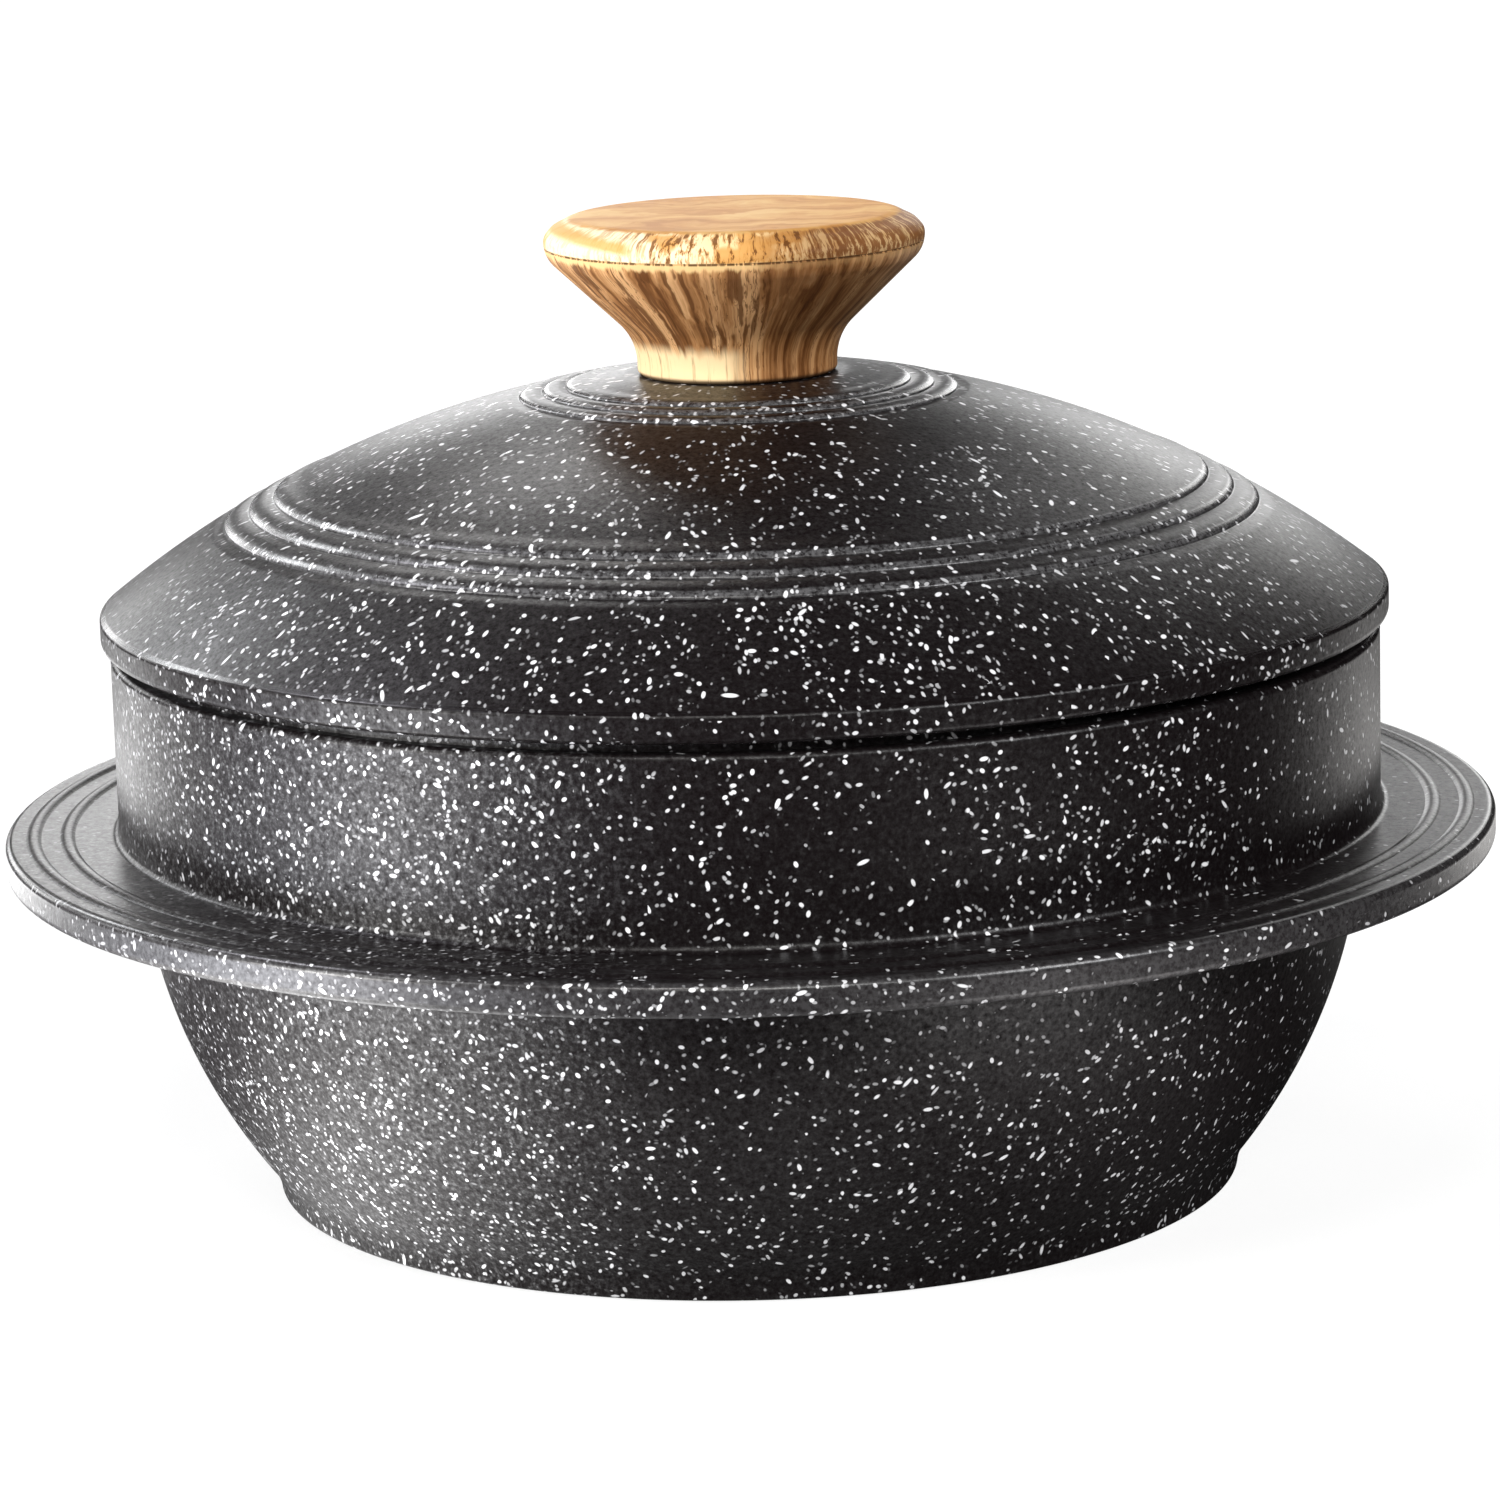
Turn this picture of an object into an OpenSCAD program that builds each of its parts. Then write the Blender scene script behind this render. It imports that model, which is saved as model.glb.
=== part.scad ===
// Lidded cast pot with a wide brim, a domed lid and a turned knob.
// Every piece is a turned form about the Z axis. The origin is the centre of
// the base, on the surface the pot stands on. Millimetres, +Z up.

/* [Pot] */

// Inside diameter of the mouth
mouth_d = 200; // [190:1:215]
// Thickness of the upright wall
wall_t = 3.95; // [3.5:0.05:4.5]
// Thickness of the bowl under the brim
bowl_t = 4; // [3.2:0.1:4.8]
// Thickness of the floor
floor_t = 5; // [4:0.1:7]
// Height of the lip the lid rests on
lip_z = 93; // [88:0.1:100]
// Height of the lip above the wall's shoulder
lip_h = 1.7; // [1.4:0.1:3]
// Radial width of the lip
lip_t = 1.5; // [1.4:0.1:2.2]
// Radius of the bowl's outer curve, seen from the side
bowl_arc = 90.9; // [88:0.1:96]
// Radius of the hollow sweep between the bowl and the foot
foot_sweep = 12; // [8:0.5:14]
// How far the foot stands inside the mouth's radius
foot_inset = 20.1; // [16:0.1:22]

/* [Brim] */

// How far the brim stands out past the mouth's radius
brim_out = 22.6; // [19:0.1:26]
// Height of the brim's underside
brim_z = 55.9; // [53:0.1:58]
// Thickness of the brim
brim_t = 5.4; // [5:0.1:6.5]
// Distance of the outer bead's crest from the brim's edge
bead_in = 4.7; // [4:0.1:5.5]
// Distance from one bead's crest to the next
bead_pitch = 5.5; // [4.5:0.1:6]
// Height of the beads
bead_h = 0.42; // [0.2:0.02:0.6]

/* [Lid] */

// How far the lid's edge stands out past the mouth's radius
lid_out = 5.4; // [5:0.1:7]
// Height of the lid's upright edge band
band_h = 4.25; // [3.5:0.05:6]
// Height of the knob's seat above the lip
lid_rise = 40.3; // [37:0.1:44]
// Radius of the dome, seen from the side
dome_arc = 174; // [168:1:190]
// Thickness of the lid
lid_t = 3.8; // [3:0.1:4.2]
// Radius of the innermost turned step near the knob
top_step_r = 28.3; // [26:0.1:30]
// Distance between the steps near the knob
top_step_pitch = 3.8; // [3:0.1:4.2]
// Radius of the innermost turned step on the shoulder
side_step_r = 76.5; // [70:0.1:80]
// Distance between the steps on the shoulder
side_step_pitch = 4.1; // [3.4:0.1:4.4]
// Number of steps in each group
step_count = 3; // [1:1:4]
// Play between the lid's locating ring and the mouth
ring_play = 1; // [0.5:0.1:1.5]
// Depth of the locating ring
ring_h = 5; // [3:0.1:8]

/* [Knob] */

// Diameter of the knob at its widest
knob_d = 62; // [58:0.5:66]
// Diameter of the knob's waist
waist_d = 32.6; // [31:0.1:36]
// Height of the knob
knob_h = 25.9; // [24.5:0.1:28]
// Diameter of the knob's flat top
top_d = 51.4; // [48:0.1:52]

/* [Fastening] */

// Thread diameter of the screw
screw_d = 5; // [4:0.5:5]
// Length of the screw under its head
screw_len = 16; // [14:1:17]
// Outside diameter of the threaded insert
insert_d = 8; // [7.5:0.1:10]
// Length of the threaded insert
insert_len = 12; // [10:0.5:13]

/* [Hidden] */

$fn = 180;

coat = [0.13, 0.13, 0.14];
wood = [0.80, 0.62, 0.42];
brass = [0.72, 0.58, 0.30];
steel = [0.62, 0.63, 0.65];

// Points along an arc, from angle a to angle b in n steps
function arc(cx, cz, r, a, b, n) =
    [for (i = [0:n]) let (t = a + (b - a) * i / n) [cx + r * cos(t), cz + r * sin(t)]];

// Centre of the arc of radius r through p and q that bulges up and outwards
function arc_centre(p, q, r) =
    let (m = (p + q) / 2, d = q - p, l = norm(d), h = sqrt(r * r - l * l / 4))
    [m[0] + (d[1] > 0 ? -1 : 1) * d[1] / l * h, m[1] - abs(d[0]) / l * h];

// Pot
mouth_r = mouth_d / 2;
wall_r = mouth_r + wall_t;
foot_r = mouth_r - foot_inset;
brim_r = mouth_r + brim_out;
brim_top = brim_z + brim_t;
shoulder_z = lip_z - lip_h;
bowl_cx = mouth_r + 1.24 - bowl_arc;
bowl_cz = 61.7;
under_fillet = 2;
brim_low_r = 1.2;
brim_high_r = 1.4;
root_fillet = 1.3;
base_edge = 0.6;
recess_r = foot_r - 8.4;
recess_z = 1;

// The hollow sweep touches the bowl's curve and ends upright at the foot
sweep_cx = foot_r + foot_sweep;
sweep_cz = bowl_cz - sqrt(pow(bowl_arc + foot_sweep, 2) - pow(sweep_cx - bowl_cx, 2));
sweep_a = atan2(bowl_cz - sweep_cz, bowl_cx - sweep_cx);
sweep_low = 180 - asin((base_edge - sweep_cz) / foot_sweep);
base_r = sweep_cx + foot_sweep * cos(sweep_low);

// The small fillet under the brim touches the bowl's curve
uf_cz = brim_z - under_fillet;
uf_cx = bowl_cx + sqrt(pow(bowl_arc + under_fillet, 2) - pow(bowl_cz - uf_cz, 2));
uf_a = atan2(bowl_cz - uf_cz, bowl_cx - uf_cx);

// Inside of the bowl: the outer curve set in by its thickness, a soft corner
// at the floor, and a slight taper that runs up to the upright mouth
in_arc = bowl_arc - bowl_t;
floor_fillet = 16;
ff_cz = floor_t + floor_fillet;
ff_cx = bowl_cx + sqrt(pow(in_arc - floor_fillet, 2) - pow(bowl_cz - ff_cz, 2));
ff_a = atan2(ff_cz - bowl_cz, ff_cx - bowl_cx);
taper = 8;
taper_r = bowl_cx + in_arc * cos(taper);
taper_z = bowl_cz - in_arc * sin(taper);
mouth_z = taper_z + (mouth_r - taper_r) / tan(taper);
soft = 60;
soft_l = soft * tan(taper / 2);

bead_half = 1.25;
bead_rad = (bead_half * bead_half + bead_h * bead_h) / (2 * bead_h);
bead_ang = asin(bead_half / bead_rad);

function bead(r) = arc(r, brim_top + bead_h - bead_rad, bead_rad, 90 - bead_ang, 90 + bead_ang, 8);

pot_outline = concat(
    [[0, recess_z], [recess_r - recess_z, recess_z], [recess_r, 0]],
    arc(base_r - base_edge, base_edge, base_edge, -90, 0, 4),
    arc(sweep_cx, sweep_cz, foot_sweep, sweep_low, sweep_a, 8),
    arc(bowl_cx, bowl_cz, bowl_arc, sweep_a - 180, uf_a - 180, 28),
    arc(uf_cx, uf_cz, under_fillet, uf_a, 90, 6),
    arc(brim_r - brim_low_r, brim_z + brim_low_r, brim_low_r, -90, 0, 6),
    arc(brim_r - brim_high_r, brim_top - brim_high_r, brim_high_r, 0, 90, 6),
    bead(brim_r - bead_in),
    bead(brim_r - bead_in - bead_pitch),
    arc(wall_r + root_fillet, brim_top + root_fillet, root_fillet, -90, -180, 6),
    arc(wall_r - 1, shoulder_z - 1, 1, 0, 90, 5),
    [[mouth_r + lip_t, shoulder_z]],
    arc(mouth_r + lip_t - 0.3, lip_z - 0.3, 0.3, 0, 90, 3),
    arc(mouth_r + 0.4, lip_z - 0.4, 0.4, 90, 180, 3),
    arc(mouth_r - soft, mouth_z + soft_l, soft, 0, -taper, 4),
    arc(bowl_cx, bowl_cz, in_arc, -taper, ff_a, 18),
    arc(ff_cx, ff_cz, floor_fillet, ff_a, -90, 8),
    [[0, floor_t]]
);

// Lid
lid_r = mouth_r + lid_out;
seat_z = lip_z + lid_rise;
seat_r = 17;
band_low_r = 1;
crease_r = 0.8;
dome_c = arc_centre([lid_r, lip_z + band_h], [seat_r, seat_z + 0.18], dome_arc);

// Height of the plain dome at a radius, for the outer face (t = 0) or t below it
function dome_z(r, t = 0) = dome_c[1] + sqrt(pow(dome_arc - t, 2) - pow(r - dome_c[0], 2));

// A point on the dome, raised by h square to the surface
function dome_pt(r, h) =
    let (z = dome_z(r), a = atan2(z - dome_c[1], r - dome_c[0])) [r + h * cos(a), z + h * sin(a)];

// Turned steps: each land starts low, swells above the dome and rolls over
// steeply at its outer edge, where the next land starts low again
step_low = -0.26;
step_high = 0.2;
step_peak = 0.6;
lead_in = 3;
lead_out = 2.2;

function land(u) =
    u < step_peak
        ? step_low + (step_high - step_low) * sin(90 * u / step_peak)
        : step_low + (step_high - step_low) * sqrt(max(0, 1 - pow((u - step_peak) / (1 - step_peak), 2)));

// The rolled edge is drawn with its points crowded towards the drop
function land_u(i, n) =
    let (k = i / n) k < 0.5 ? step_peak * k * 2 : step_peak + (1 - step_peak) * sin(90 * (k - 0.5) * 2);

function steps(r0, pitch) = concat(
    // swell before the first drop
    [for (i = [0:4]) let (k = i / 4) dome_pt(r0 - (1 - step_peak) * pitch - lead_in * (1 - k), step_high * (1 - cos(180 * k)) / 2)],
    [for (i = [1:6]) let (u = step_peak + (1 - step_peak) * sin(90 * i / 6)) dome_pt(r0 - (1 - u) * pitch, land(u))],
    // whole lands between the drops
    step_count < 2 ? [] : [for (s = [1:step_count - 1], i = [1:12]) let (u = land_u(i, 12)) dome_pt(r0 + (s - 1 + u) * pitch, land(u))],
    // back up to the plain dome after the last drop
    [for (i = [1:4]) let (k = i / 4) dome_pt(r0 + (step_count - 1) * pitch + lead_out * k, step_low * (1 + cos(180 * k)) / 2)]
);

// Points on the plain dome between two radii, ends left out
function dome_run(ra, rb, n) = [for (i = [1:n - 1]) dome_pt(ra + (rb - ra) * i / n, 0)];

function flip(v) = [for (i = [len(v) - 1:-1:0]) v[i]];

top_in = top_step_r - (1 - step_peak) * top_step_pitch - lead_in;
top_out = top_step_r + (step_count - 1) * top_step_pitch + lead_out;
side_in = side_step_r - (1 - step_peak) * side_step_pitch - lead_in;
side_out = side_step_r + (step_count - 1) * side_step_pitch + lead_out;

// The crease between the band and the dome is a small round touching both
crease_cx = lid_r - crease_r;
crease_cz = dome_z(crease_cx, crease_r);
crease_a = atan2(crease_cz - dome_c[1], crease_cx - dome_c[0]);
crease_pt = [crease_cx + crease_r * cos(crease_a), crease_cz + crease_r * sin(crease_a)];

ring_out = mouth_r - ring_play;
ring_in = ring_out - 2.5;
ring_low = lip_z - ring_h;
ring_fillet = 3;
rf_cx = ring_in - ring_fillet;
rf_cz = dome_z(rf_cx, lid_t + ring_fillet);
rf_a = atan2(rf_cz - dome_c[1], rf_cx - dome_c[0]);

boss_r = 9;
boss_z = seat_z - 5.7;
boss_fillet = 1.5;
hole_r = screw_d / 2 + 0.3;
in_a0 = atan2(dome_z(boss_r + boss_fillet, lid_t) - dome_c[1], boss_r + boss_fillet - dome_c[0]);

lid_outline = concat(
    // underside, from the screw's hole outwards
    [[hole_r, boss_z], [boss_r, boss_z]],
    arc(boss_r + boss_fillet, dome_z(boss_r + boss_fillet, lid_t) - boss_fillet, boss_fillet, 180, 96, 4),
    arc(dome_c[0], dome_c[1], dome_arc - lid_t, in_a0, rf_a, 24),
    arc(rf_cx, rf_cz, ring_fillet, rf_a, 0, 5),
    arc(ring_in + 0.5, ring_low + 0.5, 0.5, -180, -90, 3),
    arc(ring_out - 0.5, ring_low + 0.5, 0.5, -90, 0, 3),
    [[ring_out, lip_z]],
    // edge band and crease
    arc(lid_r - band_low_r, lip_z + band_low_r, band_low_r, -90, 0, 5),
    arc(crease_cx, crease_cz, crease_r, 0, crease_a, 3),
    // outer face, from the crease up to the knob's seat
    flip(concat(
        [[hole_r, seat_z], [seat_r, seat_z], dome_pt(seat_r + 1.2, 0)],
        dome_run(seat_r + 1.2, top_in, 3),
        steps(top_step_r, top_step_pitch),
        dome_run(top_out, side_in, 14),
        steps(side_step_r, side_step_pitch),
        dome_run(side_out, crease_pt[0], 10)
    ))
);

// Knob
knob_r = knob_d / 2;
waist_r = waist_d / 2;
knob_top = seat_z + knob_h;
neck = 9.4;
flare = 46.3;
swell = 5;
swell_z = seat_z + 22;
neck_z = seat_z + 1.8;
// The neck's hollow is followed by a straight flare up to the swell below the rim
neck_end = [waist_r + neck - neck * cos(flare), neck_z + neck * sin(flare)];
swell_start = [knob_r - swell + swell * cos(90 - 43.7), swell_z - swell * sin(43.7 + 2.6)];
seam_z = seat_z + 21.2;
seam_r = knob_r - swell + sqrt(swell * swell - pow(seam_z - swell_z, 2));
seam_a = asin((seam_z - swell_z) / swell);
top_r = top_d / 2;
insert_r = insert_d / 2;

knob_outline = concat(
    [[0, seat_z + insert_len + 0.6], [insert_r, seat_z + insert_len + 0.6], [insert_r, seat_z]],
    // turned foot of the knob
    arc(waist_r - 1, seat_z + 1, 1, -90, 0, 4),
    arc(waist_r + neck, neck_z, neck, 180, 180 - flare, 10),
    // swell up to the seam
    arc(knob_r - swell, swell_z, swell, -flare, seam_a - 1.6, 8),
    [[seam_r - 0.18, seam_z]],
    arc(knob_r - swell, swell_z, swell, seam_a + 1.6, 0, 3),
    // rolled rim: a tight turn, a sloping face and a soft edge round the flat top
    arc(knob_r - 1.9, swell_z + 0.1, 1.9, 6, 46, 5),
    [for (k = [1:5]) let (
        a = [knob_r - 1.9 + 1.9 * cos(46), swell_z + 0.1 + 1.9 * sin(46)],
        b = [top_r + 2.6, knob_top - 0.95],
        t = k / 5, m = 0.16 * sin(180 * t)) a + (b - a) * t + [m, m]],
    [for (k = [1:5]) let (
        a = [top_r + 2.6, knob_top - 0.95], c = [top_r + 1.3, knob_top], b = [top_r - 0.4, knob_top],
        t = k / 5) a * pow(1 - t, 2) + c * 2 * t * (1 - t) + b * pow(t, 2)],
    [[0, knob_top]]
);

// Fastening
washer_t = 1;
washer_r = 6 * screw_d / 5;
head_r = 4.75 * screw_d / 5;
head_h = 3.4;
head_z = boss_z - washer_t;

// One casting: base, bowl, brim with its beads, upright wall and lip
module pot_body() {
    color(coat)
        rotate_extrude() polygon(pot_outline);
}

// One casting: dome with two groups of turned steps, edge band and locating ring
module lid() {
    color(coat)
        rotate_extrude() polygon(lid_outline);
}

// One moulding with a blind pocket for the insert
module knob() {
    color(wood)
        rotate_extrude() polygon(knob_outline);
}

// Threaded insert, fast in the knob
module knob_insert() {
    color(brass)
        translate([0, 0, seat_z]) difference() {
            cylinder(h = insert_len, r = insert_r);
            translate([0, 0, -1]) cylinder(h = insert_len + 2, r = screw_d / 2);
        }
}

// Pan-head screw with a cross recess, from under the lid
module knob_screw() {
    color(steel)
        difference() {
            union() {
                translate([0, 0, head_z]) cylinder(h = screw_len - 0.6, r = screw_d / 2);
                translate([0, 0, head_z + screw_len - 0.6])
                    cylinder(h = 0.6, r1 = screw_d / 2, r2 = screw_d / 2 - 0.6);
                rotate_extrude() polygon(concat(
                    [[0, head_z], [0, head_z - head_h]],
                    arc(head_r - 1.6, head_z - head_h + 1.6, 1.6, -90, 0, 5),
                    [[head_r, head_z]]
                ));
            }
            for (a = [0, 90]) rotate([0, 0, a])
                translate([-head_r * 0.55, -0.55, head_z - head_h - 1]) cube([head_r * 1.1, 1.1, 3]);
        }
}

// Flat washer between the screw's head and the lid
module screw_washer() {
    color(steel)
        translate([0, 0, head_z]) difference() {
            cylinder(h = washer_t, r = washer_r);
            translate([0, 0, -1]) cylinder(h = washer_t + 2, r = screw_d / 2 + 0.15);
        }
}

pot_body();
lid();
knob();
knob_insert();
knob_screw();
screw_washer();
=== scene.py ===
import math
import bpy
from mathutils import Matrix, Vector


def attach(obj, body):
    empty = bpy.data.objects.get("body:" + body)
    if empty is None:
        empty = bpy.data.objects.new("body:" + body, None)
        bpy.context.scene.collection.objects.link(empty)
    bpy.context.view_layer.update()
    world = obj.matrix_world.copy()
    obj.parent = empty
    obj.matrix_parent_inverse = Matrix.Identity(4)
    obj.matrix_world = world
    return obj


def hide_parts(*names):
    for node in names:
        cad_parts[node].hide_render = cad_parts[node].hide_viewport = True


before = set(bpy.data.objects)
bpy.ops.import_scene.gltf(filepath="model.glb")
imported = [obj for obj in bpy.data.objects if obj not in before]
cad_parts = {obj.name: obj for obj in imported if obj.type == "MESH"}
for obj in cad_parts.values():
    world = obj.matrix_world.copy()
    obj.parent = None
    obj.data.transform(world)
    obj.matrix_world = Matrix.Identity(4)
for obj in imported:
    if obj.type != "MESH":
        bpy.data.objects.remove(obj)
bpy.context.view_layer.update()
scene = bpy.context.scene
MM = 0.001


# ---------------------------------------------------------------- profiles, mm
# The same turned outlines as the part's source, with finer arcs.
def arc(cx, cz, r, a, b, n):
    return [(cx + r * math.cos(math.radians(a + (b - a) * i / n)),
             cz + r * math.sin(math.radians(a + (b - a) * i / n))) for i in range(n + 1)]


mouth_r, wall_t, bowl_t, floor_t = 100.0, 3.95, 4.0, 5.0
lip_z, lip_h, lip_t = 93.0, 1.7, 1.5
bowl_arc, foot_sweep, foot_inset = 90.9, 12.0, 20.1
brim_out, brim_z, brim_t = 22.6, 55.9, 5.4
bead_in, bead_pitch, bead_h, bead_half = 4.7, 5.5, 0.42, 1.25
wall_r, foot_r, brim_r = mouth_r + wall_t, mouth_r - foot_inset, mouth_r + brim_out
brim_top, shoulder_z = brim_z + brim_t, lip_z - lip_h
bowl_cx, bowl_cz = mouth_r + 1.24 - bowl_arc, 61.7
under_fillet, brim_low_r, brim_high_r, root_fillet, base_edge = 2.0, 1.2, 1.4, 1.3, 0.6
recess_r, recess_z = foot_r - 8.4, 1.0

deg, rad = math.degrees, math.radians
sweep_cx = foot_r + foot_sweep
sweep_cz = bowl_cz - math.sqrt((bowl_arc + foot_sweep) ** 2 - (sweep_cx - bowl_cx) ** 2)
sweep_a = deg(math.atan2(bowl_cz - sweep_cz, bowl_cx - sweep_cx))
sweep_low = 180 - deg(math.asin((base_edge - sweep_cz) / foot_sweep))
base_r = sweep_cx + foot_sweep * math.cos(rad(sweep_low))
uf_cz = brim_z - under_fillet
uf_cx = bowl_cx + math.sqrt((bowl_arc + under_fillet) ** 2 - (bowl_cz - uf_cz) ** 2)
uf_a = deg(math.atan2(bowl_cz - uf_cz, bowl_cx - uf_cx))
in_arc, floor_fillet = bowl_arc - bowl_t, 16.0
ff_cz = floor_t + floor_fillet
ff_cx = bowl_cx + math.sqrt((in_arc - floor_fillet) ** 2 - (bowl_cz - ff_cz) ** 2)
ff_a = deg(math.atan2(ff_cz - bowl_cz, ff_cx - bowl_cx))
taper = 8.0
taper_r, taper_z = bowl_cx + in_arc * math.cos(rad(taper)), bowl_cz - in_arc * math.sin(rad(taper))
mouth_z = taper_z + (mouth_r - taper_r) / math.tan(rad(taper))
soft = 60.0
soft_l = soft * math.tan(rad(taper / 2))
bead_rad = (bead_half ** 2 + bead_h ** 2) / (2 * bead_h)
bead_ang = deg(math.asin(bead_half / bead_rad))


def bead(r):
    return arc(r, brim_top + bead_h - bead_rad, bead_rad, 90 - bead_ang, 90 + bead_ang, 12)


pot_outline = (
    [(0, recess_z), (recess_r - recess_z, recess_z), (recess_r, 0)]
    + arc(base_r - base_edge, base_edge, base_edge, -90, 0, 6)
    + arc(sweep_cx, sweep_cz, foot_sweep, sweep_low, sweep_a, 14)[1:]
    + arc(bowl_cx, bowl_cz, bowl_arc, sweep_a - 180, uf_a - 180, 56)[1:]
    + arc(uf_cx, uf_cz, under_fillet, uf_a, 90, 8)[1:]
    + arc(brim_r - brim_low_r, brim_z + brim_low_r, brim_low_r, -90, 0, 9)
    + arc(brim_r - brim_high_r, brim_top - brim_high_r, brim_high_r, 0, 90, 9)
    + bead(brim_r - bead_in)
    + bead(brim_r - bead_in - bead_pitch)
    + arc(wall_r + root_fillet, brim_top + root_fillet, root_fillet, -90, -180, 9)
    + arc(wall_r - 1, shoulder_z - 1, 1, 0, 90, 8)
    + [(mouth_r + lip_t, shoulder_z)]
    + arc(mouth_r + lip_t - 0.3, lip_z - 0.3, 0.3, 0, 90, 4)
    + arc(mouth_r + 0.4, lip_z - 0.4, 0.4, 90, 180, 4)
    + arc(mouth_r - soft, mouth_z + soft_l, soft, 0, -taper, 6)
    + arc(bowl_cx, bowl_cz, in_arc, -taper, ff_a, 30)[1:]
    + arc(ff_cx, ff_cz, floor_fillet, ff_a, -90, 14)[1:]
    + [(0, floor_t)]
)

# Lid
lid_r = mouth_r + 5.4
seat_z = lip_z + 40.3
seat_r = 17.0
band_low_r, band_h, crease_r, dome_arc, lid_t = 1.0, 4.25, 0.8, 174.0, 3.8


def arc_centre(p, q, r):
    mx, mz = (p[0] + q[0]) / 2, (p[1] + q[1]) / 2
    dx, dz = q[0] - p[0], q[1] - p[1]
    l = math.hypot(dx, dz)
    h = math.sqrt(r * r - l * l / 4)
    return (mx + (-1 if dz > 0 else 1) * dz / l * h, mz - abs(dx) / l * h)


dome_c = arc_centre((lid_r, lip_z + band_h), (seat_r, seat_z + 0.18), dome_arc)


def dome_z(r, t=0.0):
    return dome_c[1] + math.sqrt((dome_arc - t) ** 2 - (r - dome_c[0]) ** 2)


def dome_pt(r, h):
    z = dome_z(r)
    a = math.atan2(z - dome_c[1], r - dome_c[0])
    return (r + h * math.cos(a), z + h * math.sin(a))


step_low, step_high, step_peak, lead_in, lead_out, step_count = -0.26, 0.2, 0.6, 3.0, 2.2, 3
top_step_r, top_pitch, side_step_r, side_pitch = 28.3, 3.8, 76.5, 4.1


def land(u):
    if u < step_peak:
        return step_low + (step_high - step_low) * math.sin(math.pi / 2 * u / step_peak)
    return step_low + (step_high - step_low) * math.sqrt(max(0.0, 1 - ((u - step_peak) / (1 - step_peak)) ** 2))


def land_u(i, n):
    k = i / n
    return step_peak * k * 2 if k < 0.5 else step_peak + (1 - step_peak) * math.sin(math.pi / 2 * (k - 0.5) * 2)


def steps(r0, pitch):
    out = []
    for i in range(9):
        k = i / 8
        out.append(dome_pt(r0 - (1 - step_peak) * pitch - lead_in * (1 - k), step_high * (1 - math.cos(math.pi * k)) / 2))
    for i in range(1, 11):
        u = step_peak + (1 - step_peak) * math.sin(math.pi / 2 * i / 10)
        out.append(dome_pt(r0 - (1 - u) * pitch, land(u)))
    for s in range(1, step_count):
        for i in range(1, 21):
            u = land_u(i, 20)
            out.append(dome_pt(r0 + (s - 1 + u) * pitch, land(u)))
    for i in range(1, 7):
        k = i / 6
        out.append(dome_pt(r0 + (step_count - 1) * pitch + lead_out * k, step_low * (1 + math.cos(math.pi * k)) / 2))
    return out


def dome_run(ra, rb, n):
    return [dome_pt(ra + (rb - ra) * i / n, 0) for i in range(1, n)]


top_in = top_step_r - (1 - step_peak) * top_pitch - lead_in
top_out = top_step_r + (step_count - 1) * top_pitch + lead_out
side_in = side_step_r - (1 - step_peak) * side_pitch - lead_in
side_out = side_step_r + (step_count - 1) * side_pitch + lead_out
crease_cx = lid_r - crease_r
crease_cz = dome_z(crease_cx, crease_r)
crease_a = deg(math.atan2(crease_cz - dome_c[1], crease_cx - dome_c[0]))
crease_pt = (crease_cx + crease_r * math.cos(rad(crease_a)), crease_cz + crease_r * math.sin(rad(crease_a)))
ring_out = mouth_r - 1.0
ring_in, ring_low, ring_fillet = ring_out - 2.5, lip_z - 5.0, 3.0
rf_cx = ring_in - ring_fillet
rf_cz = dome_z(rf_cx, lid_t + ring_fillet)
rf_a = deg(math.atan2(rf_cz - dome_c[1], rf_cx - dome_c[0]))
boss_r, boss_z, boss_fillet, hole_r = 9.0, seat_z - 5.7, 1.5, 2.8
bf_z = dome_z(boss_r + boss_fillet, lid_t)
in_a0 = deg(math.atan2(bf_z - dome_c[1], boss_r + boss_fillet - dome_c[0]))

lid_outline = (
    [(hole_r, boss_z), (boss_r, boss_z)]
    + arc(boss_r + boss_fillet, bf_z - boss_fillet, boss_fillet, 180, 96, 6)
    + arc(dome_c[0], dome_c[1], dome_arc - lid_t, in_a0, rf_a, 40)
    + arc(rf_cx, rf_cz, ring_fillet, rf_a, 0, 8)[1:]
    + arc(ring_in + 0.5, ring_low + 0.5, 0.5, -180, -90, 5)
    + arc(ring_out - 0.5, ring_low + 0.5, 0.5, -90, 0, 5)
    + [(ring_out, lip_z)]
    + arc(lid_r - band_low_r, lip_z + band_low_r, band_low_r, -90, 0, 8)
    + arc(crease_cx, crease_cz, crease_r, 0, crease_a, 6)
    + list(reversed(
        [(hole_r, seat_z), (seat_r, seat_z), dome_pt(seat_r + 1.2, 0)]
        + dome_run(seat_r + 1.2, top_in, 5)
        + steps(top_step_r, top_pitch)
        + dome_run(top_out, side_in, 26)
        + steps(side_step_r, side_pitch)
        + dome_run(side_out, crease_pt[0], 16)))
)

# Knob
knob_r, waist_r, knob_h, top_r = 31.0, 16.3, 25.9, 25.7
knob_top = seat_z + knob_h
neck, flare, swell = 9.4, 46.3, 5.0
swell_z, neck_z, seam_z = seat_z + 22.0, seat_z + 1.8, seat_z + 21.2
seam_r = knob_r - swell + math.sqrt(swell ** 2 - (seam_z - swell_z) ** 2)
seam_a = deg(math.asin((seam_z - swell_z) / swell))
insert_r, insert_len = 4.0, 12.0


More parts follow.
